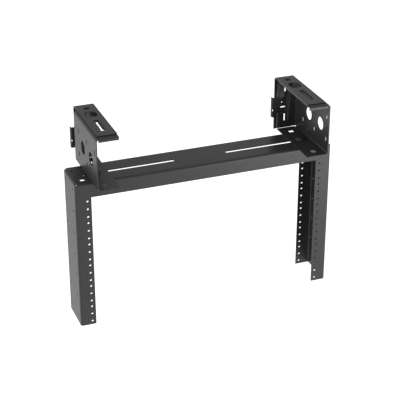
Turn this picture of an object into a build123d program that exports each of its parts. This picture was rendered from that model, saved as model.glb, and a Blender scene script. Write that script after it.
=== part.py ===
from build123d import *

import os

# Ceiling mount rack: an inverted U of folded sheet steel that hangs from the ceiling
# on two open box brackets and carries six rack units of equipment between its posts.
# X runs across the rack, Y to the back, Z up. The origin is on the ceiling face of the
# left bracket, midway across it, on the land between its slot and its oblong hole.

# Sheet and bends
sheet = 2.0
bend_radius = 4.5
bracket_bend_radius = 5.0

# Rack pattern
rack_unit = 44.45
unit_count = 6
hole_offsets = (6.35, 22.225, 38.1)
hole_column_spacing = 465.1
rack_hole_diameter = 5.6
small_hole_sides = 12
fine_units = (0, 2, 5)

# Posts and crossbar
hole_to_edge = 7.15
post_flange = 30.1
post_depth = 76.2
post_tail = 0.8
corner_relief = 2.0
crossbar_height = 29.6
opening_gap = 1.2
web_hole_diameter = 4.5
web_hole_front = 17.2
web_hole_back = 9.5
web_hole_drop = 15.5
web_hole_count = 7

# Slots along the crossbar, in which the brackets are bolted
rail_slot_width = 7.9
rail_slot_start = 51.0
rail_slot_end = 222.0

# Holes of the crossbar's ends
end_slot_length = 11.0
end_slot_width = 9.0
end_slot_reach = 236.8
end_slot_depth = -20.9
end_hole_diameter = 5.0
end_hole_reach = 228.6
end_hole_depth = -2.2
end_pin_reach = 244.9
end_pin_depth = 20.6

# Brackets: an open C of sheet, with a lip in front and a return folded in at the back
bracket_width = 42.6
bracket_height = 104.2
bracket_front = 81.2
lip_height = 8.5
lip_bend_radius = 3.0
return_depth = 64.5
return_top = 8.0
return_bottom = 98.5
return_slot_width = 10.2
return_slot_top = 14.0
return_slot_bottom = 87.5
return_window_top = 37.0
return_window_bottom = 70.0
ceiling_land = 5.0
left_reach = 203.8
right_reach = 207.4

# Ceiling plates: an L of sheet that lies on a bracket and is folded down behind it
plate_step = 11.0
rear_plate_depth = 80.4
rear_plate_height = 107.0
rear_slot_width = 5.8
rear_slot_length = 16.6
rear_slot_offset = -0.1
rear_slot_drops = (24.8, 88.0)
level_slot_length = 11.0
level_slot_width = 3.0
level_slot_drop = 65.0
pin_hole_diameter = 3.0
pin_hole_offset = 5.0
pin_hole_drop = 54.7

# Wings, folded back from both sides of a ceiling plate's rear part, with a square hole in each
wing_outer = 23.9
wing_inner = 25.9
wing_bend_radius = 3.0
wing_back = 84.8
wing_top = 43.5
wing_bottom = 84.5
wing_hole = 4.0
wing_hole_drop = 70.0

# Holes of the bracket's side plate
side_slot_width = 4.8
side_slot_length = 11.0
side_hole_diameter = 25.4
side_column_pitch = 50.8
side_row_pitch = 44.45
side_first_column = 11.2
side_first_row = 31.8

# Holes of the ceiling face and of the shelf
square_hole = 10.5
oblong_hole_width = 22.0
oblong_hole_length = 29.0
ceiling_slot_width = 9.4
ceiling_slot_length = 50.0
ceiling_square_depth = 57.5
ceiling_oblong_depth = 27.5
ceiling_slot_depth = -25.5
key_slot_width = 4.0
key_holes = ((-43.0, 9.0), (-5.0, 7.0))
collar_depth = 9.0
back_notch_width = 14.0
back_notch_depth = 49.5
shelf_front_square = -61.0
shelf_back_square = 42.0
rail_bolt_square = 8.6

# Places worked out from the sizes above
middle = left_reach
rack_opening = hole_column_spacing - 2 * hole_to_edge
neutral_radius = bend_radius - sheet / 2
bracket_neutral_radius = bracket_bend_radius - sheet / 2
crossbar_top = -bracket_height
crossbar_bottom = crossbar_top - crossbar_height
pattern_top = crossbar_bottom - opening_gap
post_bottom = pattern_top - unit_count * rack_unit - post_tail
rack_line = -ceiling_land
front_face = rack_line - post_depth / 2
rear_face = rack_line + post_depth / 2
bracket_front_edge = rack_line - bracket_front
return_face = rack_line + return_depth
bracket_back_edge = return_face - bracket_bend_radius
plate_face = rack_line + rear_plate_depth
plate_left = bracket_bend_radius - bracket_width / 2
plate_right = bracket_width / 2
plate_middle = (plate_left + plate_right) / 2
overall_width = rack_opening + 2 * post_flange
end_face = overall_width / 2
web_hole_lines = (front_face + web_hole_front, rear_face - web_hole_back)
hole_heights = [
    pattern_top - unit * rack_unit - offset for unit in range(unit_count) for offset in hole_offsets
]
fine_heights = [
    pattern_top - unit * rack_unit - offset for unit in fine_units for offset in hole_offsets[::2]
]

os.makedirs("parts", exist_ok=True)


def save(piece, label):
    """Labels a finished piece and writes it under the same name."""
    piece.part.label = label
    export_step(piece.part, f"parts/{label}.step")


def small_hole(diameter):
    """The small round holes come by the dozen, so each is drawn with a few sides."""
    RegularPolygon(diameter / 2, small_hole_sides)


# Crossbar: a top plate with its front flange and two end flanges folded down.
# The front corners stay open a little, as relief for the three folds that meet there.
with BuildPart() as crossbar:
    with BuildSketch(Plane.YZ.offset(middle - end_face + bend_radius)):
        with BuildLine():
            FilletPolyline(
                (front_face + sheet / 2, crossbar_bottom),
                (front_face + sheet / 2, crossbar_top - sheet / 2),
                (rear_face, crossbar_top - sheet / 2),
                radius=neutral_radius,
            )
        trace(line_width=sheet)
    extrude(amount=overall_width - 2 * bend_radius)
    for side in (-1, 1):
        with BuildSketch(Plane.XZ.offset(-front_face - bend_radius)):
            with BuildLine():
                FilletPolyline(
                    (middle + side * (end_face - 2 * bend_radius), crossbar_top - sheet / 2),
                    (middle + side * (end_face - sheet / 2), crossbar_top - sheet / 2),
                    (middle + side * (end_face - sheet / 2), crossbar_bottom),
                    radius=neutral_radius,
                )
            trace(line_width=sheet)
        extrude(amount=-(post_depth - 2 * bend_radius))
    rail_slot_length = rail_slot_end - rail_slot_start
    with BuildSketch(Plane.XY.offset(crossbar_top)):
        for side in (-1, 1):
            with Locations((middle + side * (rail_slot_start + rail_slot_length / 2), rack_line)):
                SlotOverall(rail_slot_length, rail_slot_width)
    extrude(amount=-sheet, mode=Mode.SUBTRACT)
    # The first row of the holes in the rack's sides falls on the end flanges
    with BuildSketch(Plane.YZ.offset(middle)):
        with Locations(*[(y, crossbar_top - web_hole_drop) for y in web_hole_lines]):
            small_hole(web_hole_diameter)
    extrude(amount=end_face, both=True, mode=Mode.SUBTRACT)
    # Holes near both ends of the top plate, outside the brackets
    with BuildSketch(Plane.XY.offset(crossbar_top)):
        for side in (-1, 1):
            with Locations((middle + side * end_slot_reach, rack_line + end_slot_depth)):
                SlotOverall(end_slot_length, end_slot_width)
            with Locations(
                (middle + side * end_hole_reach, rack_line + end_hole_depth),
                (middle + side * end_pin_reach, rack_line + end_pin_depth),
            ):
                small_hole(end_hole_diameter)
    extrude(amount=-sheet, mode=Mode.SUBTRACT)
save(crossbar, "crossbar")


def make_post(side):
    """A post: a C channel open to the middle. Its corner folds run on up beside the crossbar."""
    web = middle + side * (end_face - sheet / 2)
    edge = middle + side * rack_opening / 2
    front = front_face + sheet / 2
    rear = rear_face - sheet / 2
    corner = middle + side * (end_face - bend_radius)
    with BuildPart() as post:
        with BuildSketch(Plane.XY.offset(post_bottom)):
            with BuildLine():
                FilletPolyline((edge, front), (web, front), (web, rear), (edge, rear), radius=neutral_radius)
            trace(line_width=sheet)
        extrude(amount=crossbar_bottom - post_bottom)
        fold_height = crossbar_height - corner_relief
        with BuildSketch(Plane.XY.offset(crossbar_bottom)):
            with Locations((corner, front_face + bend_radius), (corner, rear_face - bend_radius)):
                Circle(bend_radius)
                Circle(bend_radius - sheet, mode=Mode.SUBTRACT)
            with Locations((corner - side * bend_radius, rack_line)):
                Rectangle(2 * bend_radius, post_depth, mode=Mode.SUBTRACT)
            with Locations((corner, rack_line)):
                Rectangle(2 * bend_radius, post_depth - 2 * bend_radius, mode=Mode.SUBTRACT)
        extrude(amount=fold_height)
        with BuildSketch(Plane.XY.offset(crossbar_bottom)):
            with Locations(((edge + corner) / 2, rear)):
                Rectangle(abs(corner - edge), sheet)
        extrude(amount=crossbar_height - sheet)
        column = middle + side * hole_column_spacing / 2
        with BuildSketch(Plane.XZ.offset(-rear_face)):
            with Locations(*[(column, z) for z in hole_heights]):
                small_hole(rack_hole_diameter)
        extrude(amount=sheet, mode=Mode.SUBTRACT)
        # In front, the outer holes of the first, third and last unit are true circles
        with BuildSketch(Plane.XZ.offset(-front_face - sheet)):
            for z in hole_heights:
                with Locations((column, z)):
                    if z in fine_heights:
                        Circle(rack_hole_diameter / 2)
                    else:
                        small_hole(rack_hole_diameter)
        extrude(amount=sheet, mode=Mode.SUBTRACT)
        with BuildSketch(Plane.YZ.offset(middle)):
            rows = [crossbar_top - web_hole_drop - row * rack_unit for row in range(1, web_hole_count)]
            with Locations(*[(y, z) for y in web_hole_lines for z in rows]):
                small_hole(web_hole_diameter)
        extrude(amount=side * end_face, mode=Mode.SUBTRACT)
    return post


def make_left_bracket():
    """The left bracket, with its open side to the right."""
    outer = -bracket_width / 2
    inner = bracket_width / 2
    with BuildPart() as bracket:
        # Side plate between the top flange and the shelf that stands on the crossbar
        with BuildSketch(Plane.XZ.offset(-bracket_back_edge)):
            with BuildLine():
                FilletPolyline(
                    (inner, -1.5 * sheet),
                    (outer + sheet / 2, -1.5 * sheet),
                    (outer + sheet / 2, sheet / 2 - bracket_height),
                    (inner, sheet / 2 - bracket_height),
                    radius=bracket_neutral_radius,
                )
            trace(line_width=sheet)
        extrude(amount=bracket_back_edge - bracket_front_edge)
        # The top flange is cut back by the fold of its front lip
        with BuildSketch(Plane.XY.offset(-sheet)):
            with Locations((plate_left, bracket_front_edge)):
                Rectangle(bracket_width, lip_bend_radius, align=(Align.MIN, Align.MIN))
        extrude(amount=-bracket_bend_radius, mode=Mode.SUBTRACT)
        with BuildSketch(Plane.YZ.offset(plate_left)):
            with BuildLine():
                FilletPolyline(
                    (bracket_front_edge + sheet / 2, -lip_height),
                    (bracket_front_edge + sheet / 2, -1.5 * sheet),
                    (bracket_front_edge + 2 * lip_bend_radius, -1.5 * sheet),
                    radius=lip_bend_radius - sheet / 2,
                )
            trace(line_width=sheet)
        extrude(amount=plate_right - plate_left)
        # Return folded in from the back of the side plate
        with BuildSketch(Plane.XY.offset(-return_bottom)):
            with BuildLine():
                FilletPolyline(
                    (outer + sheet / 2, bracket_back_edge - bracket_bend_radius),
                    (outer + sheet / 2, return_face - sheet / 2),
                    (inner, return_face - sheet / 2),
                    radius=bracket_neutral_radius,
                )
            trace(line_width=sheet)
        extrude(amount=return_bottom - return_top)
        # The return has an upright slot, and a window from there to its free edge
        with BuildSketch(Plane.XZ.offset(-return_face)):
            slot_height = return_slot_bottom - return_slot_top
            with Locations((plate_middle, -return_slot_top - slot_height / 2)):
                Rectangle(return_slot_width, slot_height)
            with Locations((plate_middle, -return_window_top)):
                Rectangle(
                    bracket_width, return_window_bottom - return_window_top, align=(Align.MIN, Align.MAX)
                )
        extrude(amount=sheet, mode=Mode.SUBTRACT)
        # Side plate: three columns of slots and two large holes
        columns = [bracket_front_edge + side_first_column + column * side_column_pitch for column in range(3)]
        rows = [-side_first_row - row * side_row_pitch for row in range(2)]
        with BuildSketch(Plane.YZ.offset(outer)):
            with Locations(*[(y, z) for y in columns for z in rows]):
                SlotOverall(side_slot_length, side_slot_width, rotation=90)
            with Locations(*[(y + side_column_pitch / 2, sum(rows) / 2) for y in columns[:2]]):
                Circle(side_hole_diameter / 2)
        extrude(amount=sheet, mode=Mode.SUBTRACT)
        # Top flange: an oblong hole, a narrow slot between two holes, and a notch at the back
        with BuildSketch(Plane.XY.offset(-sheet)):
            with Locations((plate_middle, rack_line + ceiling_oblong_depth)):
                SlotOverall(oblong_hole_length + 2 * sheet, oblong_hole_width + 2 * sheet, rotation=90)
            for depth, diameter in key_holes:
                with Locations((plate_middle, rack_line + depth)):
                    small_hole(diameter)
            with Locations((plate_middle, rack_line + key_holes[0][0])):
                Rectangle(key_slot_width, key_holes[1][0] - key_holes[0][0], align=(Align.CENTER, Align.MIN))
            with Locations((plate_middle, rack_line + back_notch_depth)):
                Rectangle(back_notch_width, return_depth - back_notch_depth, align=(Align.CENTER, Align.MIN))
        extrude(amount=-sheet, mode=Mode.SUBTRACT)
        # Holes of the shelf, the middle one for the bolt in the crossbar's slot
        with BuildSketch(Plane.XY.offset(-bracket_height)):
            with Locations(*[(0, rack_line + depth) for depth in (shelf_front_square, shelf_back_square)]):
                Rectangle(square_hole, square_hole)
            with Locations((0, rack_line)):
                Rectangle(rail_bolt_square, rail_bolt_square)
        extrude(amount=sheet, mode=Mode.SUBTRACT)
    return bracket


def make_left_ceiling_plate():
    """The sheet on top of the left bracket, folded down behind it."""
    with BuildPart() as plate:
        with BuildSketch(Plane.YZ.offset(plate_left)):
            with BuildLine():
                FilletPolyline(
                    (bracket_front_edge + plate_step, -sheet / 2),
                    (plate_face - sheet / 2, -sheet / 2),
                    (plate_face - sheet / 2, -rear_plate_height),
                    radius=bracket_neutral_radius,
                )
            trace(line_width=sheet)
        extrude(amount=plate_right - plate_left)
        # Wings, folded back, with a square hole in each fold
        with BuildSketch(Plane.XY.offset(-wing_bottom)):
            with BuildLine():
                FilletPolyline(
                    (sheet / 2 - wing_outer, rack_line + wing_back),
                    (sheet / 2 - wing_outer, plate_face - sheet / 2),
                    (wing_inner - sheet / 2, plate_face - sheet / 2),
                    (wing_inner - sheet / 2, rack_line + wing_back),
                    radius=wing_bend_radius - sheet / 2,
                )
            trace(line_width=sheet)
        extrude(amount=wing_bottom - wing_top)
        with BuildSketch(Plane.YZ.offset(-wing_outer)):
            with Locations((plate_face, -wing_hole_drop)):
                Rectangle(wing_hole, wing_hole)
        extrude(amount=wing_bend_radius, mode=Mode.SUBTRACT)
        with BuildSketch(Plane.YZ.offset(wing_inner)):
            with Locations((plate_face, -wing_hole_drop)):
                Rectangle(wing_hole, wing_hole)
        extrude(amount=-wing_bend_radius, mode=Mode.SUBTRACT)
        # Holes of the rear part: two upright slots, a level one and a pin hole
        with BuildSketch(Plane.XZ.offset(-plate_face)):
            with Locations(*[(rear_slot_offset, -drop) for drop in rear_slot_drops]):
                Rectangle(rear_slot_width, rear_slot_length)
            with Locations((plate_middle, -level_slot_drop)):
                SlotOverall(level_slot_length, level_slot_width)
            with Locations((pin_hole_offset, -pin_hole_drop)):
                small_hole(pin_hole_diameter)
        extrude(amount=sheet, mode=Mode.SUBTRACT)
        # Collar drawn down around the oblong hole
        with BuildSketch(Plane.XY):
            with Locations((plate_middle, rack_line + ceiling_oblong_depth)):
                SlotOverall(oblong_hole_length + 2 * sheet, oblong_hole_width + 2 * sheet, rotation=90)
        extrude(amount=-collar_depth)
        # Ceiling holes: a square one, an oblong one and a slot
        with BuildSketch(Plane.XY):
            with Locations((plate_middle, rack_line + ceiling_square_depth)):
                Rectangle(square_hole, square_hole)
            with Locations((plate_middle, rack_line + ceiling_oblong_depth)):
                SlotOverall(oblong_hole_length, oblong_hole_width, rotation=90)
            with Locations((plate_middle, rack_line + ceiling_slot_depth)):
                RectangleRounded(ceiling_slot_width, ceiling_slot_length, sheet)
        extrude(amount=-collar_depth, mode=Mode.SUBTRACT)
    return plate


# The right bracket and its plate are the mirror image of the left ones
for make_left, label in ((make_left_bracket, "bracket"), (make_left_ceiling_plate, "ceiling_plate")):
    left_piece = make_left()
    save(left_piece, f"left_{label}")
    with BuildPart() as right_piece:
        mirror(left_piece.part, about=Plane.YZ.offset((left_reach + right_reach) / 2))
    save(right_piece, f"right_{label}")

for side, label in ((-1, "left_post"), (1, "right_post")):
    save(make_post(side), label)
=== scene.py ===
"""Looks of the ceiling mount rack: black powder coat, carriage bolts, studio floor and light."""
import math

import bmesh
import bpy
from mathutils import Matrix, Vector


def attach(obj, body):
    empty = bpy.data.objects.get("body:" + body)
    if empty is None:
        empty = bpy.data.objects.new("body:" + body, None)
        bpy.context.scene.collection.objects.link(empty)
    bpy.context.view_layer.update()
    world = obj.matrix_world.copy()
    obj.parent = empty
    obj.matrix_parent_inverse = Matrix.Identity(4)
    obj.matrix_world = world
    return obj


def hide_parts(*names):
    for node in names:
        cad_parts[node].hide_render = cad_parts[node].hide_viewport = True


MM = 0.001
TURN = 2 * math.pi

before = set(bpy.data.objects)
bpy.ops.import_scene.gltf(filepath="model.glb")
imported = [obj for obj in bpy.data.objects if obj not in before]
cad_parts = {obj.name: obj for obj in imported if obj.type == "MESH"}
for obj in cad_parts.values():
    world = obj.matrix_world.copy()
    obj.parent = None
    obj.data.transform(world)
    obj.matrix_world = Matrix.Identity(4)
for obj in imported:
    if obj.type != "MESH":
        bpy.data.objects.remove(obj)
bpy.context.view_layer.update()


class Signal:
    """A value inside a node tree. Arithmetic on signals adds the Math nodes."""

    def __init__(self, tree, socket):
        self.tree = tree
        self.socket = socket

    def maths(self, operation, *others):
        return self.tree.maths(operation, self, *others)

    def __add__(self, other):
        return self.maths("ADD", other)

    __radd__ = __add__

    def __sub__(self, other):
        return self.maths("SUBTRACT", other)

    def __rsub__(self, other):
        return self.tree.maths("SUBTRACT", other, self)

    def __mul__(self, other):
        return self.maths("MULTIPLY", other)

    __rmul__ = __mul__

    def __truediv__(self, other):
        return self.maths("DIVIDE", other)

    def __rtruediv__(self, other):
        return self.tree.maths("DIVIDE", other, self)

    def __neg__(self):
        return self * -1.0

    def __gt__(self, other):
        """1 where this is greater, 0 elsewhere."""
        return self.maths("GREATER_THAN", other)

    def lesser(self, other):
        return self.maths("MINIMUM", other)

    def greater(self, other):
        return self.maths("MAXIMUM", other)

    def root(self):
        return self.maths("SQRT")

    def cosine(self):
        return self.maths("COSINE")

    def to_and_fro(self, length):
        """Rises from 0 to that length and falls back to 0, again and again, as this grows."""
        return self.maths("PINGPONG", length)

    def between(self, low, high):
        """0 where this is at low, 1 where it is at high, smooth in between."""
        return self.tree.node(
            "ShaderNodeMapRange", {"interpolation_type": "SMOOTHSTEP"},
            {"Value": self, "From Min": low, "From Max": high},
        )


class NodeTree:
    """The nodes of a material, a world or a shape, added one by one."""

    def __init__(self, tree):
        self.tree = tree
        self.tree.nodes.clear()

    def node(self, kind, settings=None, values=None, output=0):
        """Adds a node: its settings come first, then the values or links of its sockets."""
        made = self.tree.nodes.new(kind)
        for name, setting in (settings or {}).items():
            setattr(made, name, setting)
        for name, value in (values or {}).items():
            self.feed(made.inputs[name], value)
        return Signal(self, made.outputs[output] if made.outputs else None)

    def outputs(self, kind, values=None):
        """All outputs of a new node, by their names."""
        made = self.node(kind, {}, values).socket.node
        return {socket.name: Signal(self, socket) for socket in made.outputs}

    def feed(self, socket, value):
        if isinstance(value, Signal):
            self.tree.links.new(value.socket, socket)
        else:
            socket.default_value = value

    def maths(self, operation, *numbers):
        return self.node("ShaderNodeMath", {"operation": operation}, dict(enumerate(numbers)))

    def split(self, vector):
        """The x, y and z of a vector."""
        return self.outputs("ShaderNodeSeparateXYZ", {"Vector": vector}).values()

    def vector(self, x, y, z):
        return self.node("ShaderNodeCombineXYZ", {}, {"X": x, "Y": y, "Z": z})

    def place(self):
        """Where a point is on the object, in metres."""
        return self.node("ShaderNodeTexCoord", output="Object")

    def noise(self, place, scale, detail=2.0, roughness=0.5):
        return self.node(
            "ShaderNodeTexNoise", {"noise_dimensions": "3D"},
            {"Vector": place, "Scale": scale, "Detail": detail, "Roughness": roughness},
        )

    def mix_colour(self, factor, first, second):
        """The node's colour sockets share their names with others, so they go by number."""
        return self.node(
            "ShaderNodeMix", {"data_type": "RGBA"},
            {"Factor": factor, 6: first, 7: second}, output=2,
        )

    def finish(self, relief, depth, height, values):
        """The surface of a coated piece, with its fine relief."""
        bump = self.node(
            "ShaderNodeBump", {}, {"Strength": relief, "Distance": depth * MM, "Height": height}
        )
        surface = self.node("ShaderNodeBsdfPrincipled", {}, {**values, "Normal": bump})
        self.node("ShaderNodeOutputMaterial", {}, {"Surface": surface})

    def join(self, *shapes):
        """Several shapes as one."""
        whole = self.node("GeometryNodeJoinGeometry")
        for shape in shapes:
            self.feed(whole.socket.node.inputs["Geometry"], shape)
        return whole


def add_to_scene(name, data):
    made = bpy.data.objects.new(name, data)
    bpy.context.scene.collection.objects.link(made)
    return made


# Finishes


def grey(level, warmth=0.0):
    """A neutral colour of that linear level, with more red and less blue as warmth rises."""
    return (level * (1 + warmth), level, level * (1 - warmth), 1.0)


def blank_material(name):
    material = bpy.data.materials.new(name)
    material.use_nodes = True
    return material, NodeTree(material.node_tree)


def worn_edges(coat, place, reach, patch_scale):
    """1 on patches of the outer edges that hands and tools have rubbed, 0 on the flats."""
    rounded = coat.node("ShaderNodeBevel", {"samples": 4}, {"Radius": reach * MM})
    flat = coat.node("ShaderNodeNewGeometry", output="Normal")
    sameness = coat.node(
        "ShaderNodeVectorMath", {"operation": "DOT_PRODUCT"}, {0: rounded, 1: flat}, output="Value"
    )
    patches = coat.noise(place, patch_scale, detail=4.0, roughness=0.7).between(0.38, 0.68)
    return (1.0 - sameness).between(0.02, 0.3) * patches


def powder_coat():
    """Black powder coat: fine grain, a trace of orange peel, slightly polished on its edges."""
    material, coat = blank_material("powder_coat_black")
    place = coat.place()
    cloud = coat.noise(place, 14.0, detail=4.0)
    grain = coat.noise(place, 1500.0, roughness=0.6)
    peel = coat.noise(place, 420.0)
    edge = worn_edges(coat, place, reach=1.2, patch_scale=90.0)
    colour = coat.mix_colour(cloud.between(0.3, 0.7), grey(0.022), grey(0.027))
    colour = coat.mix_colour(grain.between(0.35, 0.7) * 0.5, colour, grey(0.036))
    colour = coat.mix_colour(edge * 0.5, colour, grey(0.07))
    coat.finish(0.5, 0.07, grain * 0.6 + peel, {
        "Base Color": colour,
        "Roughness": 0.28 + cloud * 0.05 + grain * 0.05 - edge * 0.06,
        "IOR": 1.45,
    })
    return material


def black_zinc():
    """Black zinc plating of the bolts and nuts, with bare metal showing on the edges."""
    material, plating = blank_material("black_zinc")
    place = plating.place()
    blotch = plating.noise(place, 260.0, detail=4.0, roughness=0.6)
    edge = worn_edges(plating, place, reach=0.5, patch_scale=300.0)
    colour = plating.mix_colour(blotch.between(0.3, 0.7), grey(0.018), grey(0.034, 0.02))
    colour = plating.mix_colour(edge * 0.7, colour, grey(0.2, 0.02))
    plating.finish(0.3, 0.05, blotch, {
        "Base Color": colour,
        "Metallic": edge * 0.6 + 0.2,
        "Roughness": 0.36 + blotch * 0.16 - edge * 0.1,
        "IOR": 1.5,
    })
    return material


def coat_the_solids():
    coat = powder_coat()
    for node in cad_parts.values():
        node.data.materials.clear()
        node.data.materials.append(coat)


coat_the_solids()


# Sheets whose free edges and rack holes are a little different from the solids'. Millimetres,
# first as the solid has it and then as the photograph shows it.
RETURN_FOOT = (-98.5, -101.4)
SHELF_BACK = (54.5, 57.4)
SHELF_FACES = (-102.2, -104.2)
REAR_PLATE_FOOT = (-107.0, -109.3)
RACK_HOLE_DIAMETER = (5.6, 4.2)

# The rack holes' centres
HOLE_COLUMNS = (-28.75, 436.35)
PATTERN_TOP = -135.0
RACK_UNIT = 44.45
UNIT_COUNT = 6
HOLE_DROPS = (6.35, 22.225, 38.1)
HOLE_HEIGHTS = [
    PATTERN_TOP - RACK_UNIT * unit - drop for unit in range(UNIT_COUNT) for drop in HOLE_DROPS
]

SAME_PLACE = 0.001
NEARLY = 0.01
MARGIN = 0.1
HOLE_MARGIN = 0.2


def is_at(length, level):
    return abs(length - level * MM) < NEARLY * MM


def lengthen_bracket(place):
    """The return comes down nearly to the shelf, and the shelf runs back to it."""
    back, new_back = SHELF_BACK
    foot, new_foot = RETURN_FOOT
    if is_at(place.z, foot) and place.y > (back + MARGIN) * MM:
        place.z = new_foot * MM
    elif is_at(place.y, back) and any(is_at(place.z, face) for face in SHELF_FACES):
        place.y = new_back * MM


def lengthen_ceiling_plate(place):
    """The rear part hangs a little lower behind the return."""
    foot, new_foot = REAR_PLATE_FOOT
    if is_at(place.z, foot):
        place.z = new_foot * MM


def narrow_rack_hole(place):
    """The rack holes are small enough to take a screw's thread."""
    column = min(HOLE_COLUMNS, key=lambda x: abs(x * MM - place.x)) * MM
    height = min(HOLE_HEIGHTS, key=lambda z: abs(z * MM - place.z)) * MM
    wide, narrow = RACK_HOLE_DIAMETER
    reach = math.hypot(place.x - column, place.z - height)
    if reach < (wide / 2 + HOLE_MARGIN) * MM:
        share = narrow / 2 * MM / reach
        place.x = column + (place.x - column) * share
        place.z = height + (place.z - height) * share


def closed_copy(mesh):
    """A copy of a solid's loose triangles with their corners merged and their shading kept."""
    copy = mesh.copy()
    kept = copy.attributes.new("kept_normal", "FLOAT_VECTOR", "CORNER")
    for slot, corner in zip(kept.data, copy.corner_normals):
        slot.vector = corner.vector
    shape = bmesh.new()
    shape.from_mesh(copy)
    bmesh.ops.remove_doubles(shape, verts=shape.verts, dist=SAME_PLACE * MM)
    shape.to_mesh(copy)
    shape.free()
    normals = [Vector(slot.vector) for slot in copy.attributes["kept_normal"].data]
    copy.attributes.remove(copy.attributes["kept_normal"])
    return copy, normals


def make_fitted_sheet(name, fit):
    """A sheet like the solid of that name, with its points fitted to the photograph."""
    mesh, normals = closed_copy(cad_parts[name].data)
    for vertex in mesh.vertices:
        fit(vertex.co)
    mesh.normals_split_custom_set(normals)
    sheet = add_to_scene(name + "_sheet", mesh)
    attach(sheet, "root")
    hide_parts(name)


for side in ("left", "right"):
    make_fitted_sheet(side + "_bracket", lengthen_bracket)
    make_fitted_sheet(side + "_ceiling_plate", lengthen_ceiling_plate)
    make_fitted_sheet(side + "_post", narrow_rack_hole)


# Carriage bolts with flange nuts, in millimetres. A bolt's own zero is the top of the shelf.
BOLT_SIZES = {
    "Head diameter": 18.3,
    "Head rim": 0.9,
    "Head rise": 3.3,
    "Neck width": 8.0,
    "Neck depth": 3.0,
    "Thread diameter": 7.8,
    "Thread depth": 0.6,
    "Thread pitch": 1.25,
    "Bolt length": 16.0,
    "Nut top": 4.0,
    "Nut height": 8.0,
    "Nut width": 13.0,
    "Nut chamfer": 0.9,
    "Flange diameter": 17.0,
    "Flange rim": 1.1,
    "Spacing": 411.2,
}
FIRST_BOLT = (0.0, -5.0, -102.2)
BOLT_COUNT = 2
TIP_LENGTH = 0.8
CHAMFER_SLOPE = 1.6
SKIRT_DRAW = 1.8


def round_blank(shop, diameter, depth, sides, rows, rings):
    """A cylinder with enough points to be reshaped."""
    return shop.node("GeometryNodeMeshCylinder", {"fill_type": "TRIANGLE_FAN"}, {
        "Vertices": sides, "Side Segments": rows, "Fill Segments": rings,
        "Radius": diameter * 0.5, "Depth": depth,
    })


def reshaped(shop, mesh, radius_and_height, smooth):
    """Moves the points of a round blank: a rule gives the new radius and height of each."""
    x, y, z = shop.split(shop.node("GeometryNodeInputPosition"))
    radius = (x * x + y * y).root()
    angle = shop.maths("ARCTAN2", y, x)
    new_radius, new_height = radius_and_height(radius, angle, z)
    share = new_radius / (radius + 1e-9)
    moved = shop.node(
        "GeometryNodeSetPosition", {},
        {"Geometry": mesh, "Position": shop.vector(x * share, y * share, new_height)},
    )
    return shop.node(
        "GeometryNodeSetShadeSmooth", {}, {"Geometry": moved, "Shade Smooth": smooth}
    )


def lowered(shop, shape, drop):
    return shop.node(
        "GeometryNodeTransform", {},
        {"Geometry": shape, "Translation": shop.vector(0.0, 0.0, -drop)},
    )


def bolt_head(shop, size):
    blank = round_blank(
        shop, size["Head diameter"], size["Head rim"], sides=40, rows=1, rings=8
    )

    def dome(radius, angle, height):
        reach = radius * 2.0 / size["Head diameter"]
        rise = size["Head rise"] * (1.0001 - reach * reach).root()
        return radius, height + (height > 0.0) * rise

    return lowered(shop, reshaped(shop, blank, dome, True), size["Head rim"] * -0.5)


def bolt_neck(shop, size):
    width, depth = size["Neck width"], size["Neck depth"]
    block = shop.node("GeometryNodeMeshCube", {}, {"Size": shop.vector(width, width, depth)})
    return lowered(shop, block, depth * 0.5)


def bolt_thread(shop, size):
    depth = size["Thread depth"]
    blank = round_blank(
        shop, size["Thread diameter"], size["Bolt length"], sides=24, rows=104, rings=2
    )

    def screw(radius, angle, height):
        wave = (height / size["Thread pitch"] - angle / TURN).to_and_fro(0.5)
        on_side = radius > size["Thread diameter"] * 0.49
        above_tip = (height + size["Bolt length"] * 0.5).between(0.0, TIP_LENGTH)
        cut = wave * 2.0 * depth * above_tip + (1.0 - above_tip) * depth
        return radius - on_side * cut, height

    return lowered(shop, reshaped(shop, blank, screw, False), size["Bolt length"] * 0.5)


def nut_body(shop, size):
    half_width, half_height = size["Nut width"] * 0.5, size["Nut height"] * 0.5
    blank = round_blank(shop, size["Nut width"], size["Nut height"], sides=48, rows=12, rings=3)

    def hexagon(radius, angle, height):
        from_flat = (angle + TURN).to_and_fro(TURN / 12)
        corner = half_width / from_flat.cosine()
        from_end = height + half_height
        chamfered = half_width + (from_end + size["Nut chamfer"] * 0.2) * CHAMFER_SLOPE
        return radius / half_width * corner.lesser(chamfered), height

    return lowered(shop, reshaped(shop, blank, hexagon, False), size["Nut top"] + half_height)


def nut_flange(shop, size):
    rim = size["Flange rim"]
    blank = round_blank(shop, size["Flange diameter"], rim * 2.4, sides=48, rows=6, rings=3)

    def skirt(radius, angle, height):
        fall = (rim * 0.2 - height) / (rim * 1.4)
        reach = radius * 2.0 / size["Flange diameter"]
        return radius - reach * fall.greater(0.0) * SKIRT_DRAW, height

    return lowered(shop, reshaped(shop, blank, skirt, True), size["Nut top"] + rim * 1.2)


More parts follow.
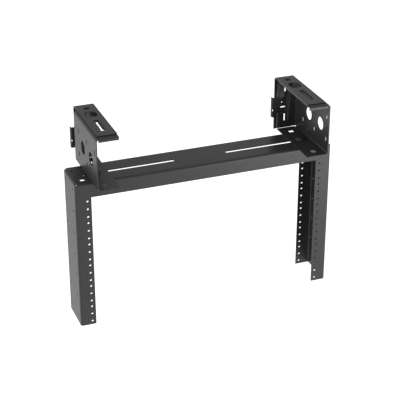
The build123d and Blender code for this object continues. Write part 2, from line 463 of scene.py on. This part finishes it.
def bolt_tree(metal):
    """The node group that makes the row of bolts with their nuts."""
    group = bpy.data.node_groups.new("carriage_bolts", "GeometryNodeTree")
    for name in BOLT_SIZES:
        group.interface.new_socket(name=name, in_out="INPUT", socket_type="NodeSocketFloat")
    group.interface.new_socket(name="Bolts", in_out="OUTPUT", socket_type="NodeSocketGeometry")
    shop = NodeTree(group)
    size = shop.outputs("NodeGroupInput")
    pieces = (bolt_head, bolt_neck, bolt_thread, nut_body, nut_flange)
    bolt = shop.join(*[make(shop, size) for make in pieces])
    row = shop.node("GeometryNodeMeshLine", {"mode": "OFFSET"}, {
        "Count": BOLT_COUNT, "Start Location": FIRST_BOLT,
        "Offset": shop.vector(size["Spacing"], 0.0, 0.0),
    })
    placed = shop.node("GeometryNodeInstanceOnPoints", {}, {"Points": row, "Instance": bolt})
    scaled = shop.node("GeometryNodeTransform", {}, {"Geometry": placed, "Scale": (MM, MM, MM)})
    solid = shop.node("GeometryNodeRealizeInstances", {}, {"Geometry": scaled})
    plated = shop.node("GeometryNodeSetMaterial", {}, {"Geometry": solid, "Material": metal})
    shop.feed(group.nodes.new("NodeGroupOutput").inputs["Bolts"], plated)
    return group


def make_bolts():
    """Two carriage bolts that clamp the crossbar under the brackets' shelves."""
    group = bolt_tree(black_zinc())
    bolts = add_to_scene("rail_bolts", bpy.data.meshes.new("rail_bolts_start"))
    rule = bolts.modifiers.new("bolts", "NODES")
    rule.node_group = group
    for socket in group.interface.items_tree:
        if socket.in_out == "INPUT":
            rule[socket.identifier] = BOLT_SIZES[socket.name]
    graph = bpy.context.evaluated_depsgraph_get()
    plain = bpy.data.meshes.new_from_object(bolts.evaluated_get(graph))
    bolts.modifiers.remove(rule)
    plain.name = "rail_bolts"
    bolts.data = plain
    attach(bolts, "root")


make_bolts()


# The studio
FLOOR_LEVEL = -1.4
FLOOR_REACH = 60.0
GLOW_TO_CAMERA = 0.8
GLOW_IN_REFLECTIONS = 0.4


def floor_finish():
    """Pale, faintly mottled floor, white to the camera and in reflections, with its shadow kept."""
    material, floor = blank_material("studio_floor")
    rays = floor.outputs("ShaderNodeLightPath")
    reflected = rays["Is Glossy Ray"] + rays["Is Transmission Ray"]
    tint = floor.mix_colour(floor.noise(floor.place(), 3.0), grey(0.8), grey(0.82))
    paint = floor.node("ShaderNodeBsdfDiffuse", {}, {"Color": tint})
    glow = floor.node("ShaderNodeEmission", {}, {
        "Color": grey(1.0),
        "Strength": rays["Is Camera Ray"] * GLOW_TO_CAMERA + reflected * GLOW_IN_REFLECTIONS,
    })
    surface = floor.node("ShaderNodeAddShader", {}, {0: paint, 1: glow})
    floor.node("ShaderNodeOutputMaterial", {}, {"Surface": surface})
    return material


def make_floor():
    mesh = bpy.data.meshes.new("floor")
    signs = ((-1, -1), (1, -1), (1, 1), (-1, 1))
    corners = [(x * FLOOR_REACH, y * FLOOR_REACH, FLOOR_LEVEL) for x, y in signs]
    mesh.from_pydata(corners, [], [(0, 1, 2, 3)])
    mesh.materials.append(floor_finish())
    add_to_scene("floor", mesh)


make_floor()


def make_surroundings():
    """White horizon, darker walls above it and a pale ceiling, all white to the camera."""
    world = bpy.data.worlds.new("studio")
    bpy.context.scene.world = world
    world.use_nodes = True
    room = NodeTree(world.node_tree)
    _, _, height = room.split(room.node("ShaderNodeTexCoord", output="Generated"))
    wall = room.mix_colour(height.between(0.0, 0.6), grey(1.0), grey(0.2))
    inside = room.mix_colour(height.between(0.6, 1.0), wall, grey(0.8))
    camera_ray = room.node("ShaderNodeLightPath", output="Is Camera Ray")
    seen = room.mix_colour(camera_ray, inside, grey(1.0))
    light = room.node("ShaderNodeBackground", {}, {"Color": seen, "Strength": 1.0})
    room.node("ShaderNodeOutputWorld", {}, {"Surface": light})


def hang_softbox(name, place, target, size, power):
    lamp = bpy.data.lights.new(name, "AREA")
    lamp.shape = "SQUARE"
    lamp.size = size
    lamp.energy = power
    holder = add_to_scene(name, lamp)
    holder.location = place
    aim = Vector(target) - Vector(place)
    holder.rotation_euler = aim.to_track_quat("-Z", "Y").to_euler()


make_surroundings()
hang_softbox("softbox_left_high", (-3.2, -1.0, 1.8), (0.2, 0.0, -0.2), size=3.0, power=70.0)
hang_softbox("softbox_right_front", (1.5, -1.7, -0.4), (0.45, 0.0, -0.2), size=1.2, power=24.0)


def place_camera():
    """The photograph's camera, fitted to the rack's own hole pattern."""
    lens = bpy.data.cameras.new("camera")
    lens.sensor_fit = "HORIZONTAL"
    lens.sensor_width = 36.0
    lens.lens = 115.85
    lens.shift_x = -0.0006
    lens.shift_y = -0.00025
    lens.clip_start = 0.1
    lens.clip_end = 200.0
    camera = add_to_scene("camera", lens)
    camera.location = Vector((-580.69, -2065.72, 913.33)) * MM
    sight = Vector((0.31801, 0.83461, -0.44977))
    roll = Matrix.Rotation(math.radians(0.03), 3, "Z")
    camera.rotation_mode = "QUATERNION"
    camera.rotation_quaternion = (
        sight.to_track_quat("-Z", "Y").to_matrix() @ roll
    ).to_quaternion()
    bpy.context.scene.camera = camera


place_camera()

bpy.context.scene.view_settings.view_transform = "Standard"
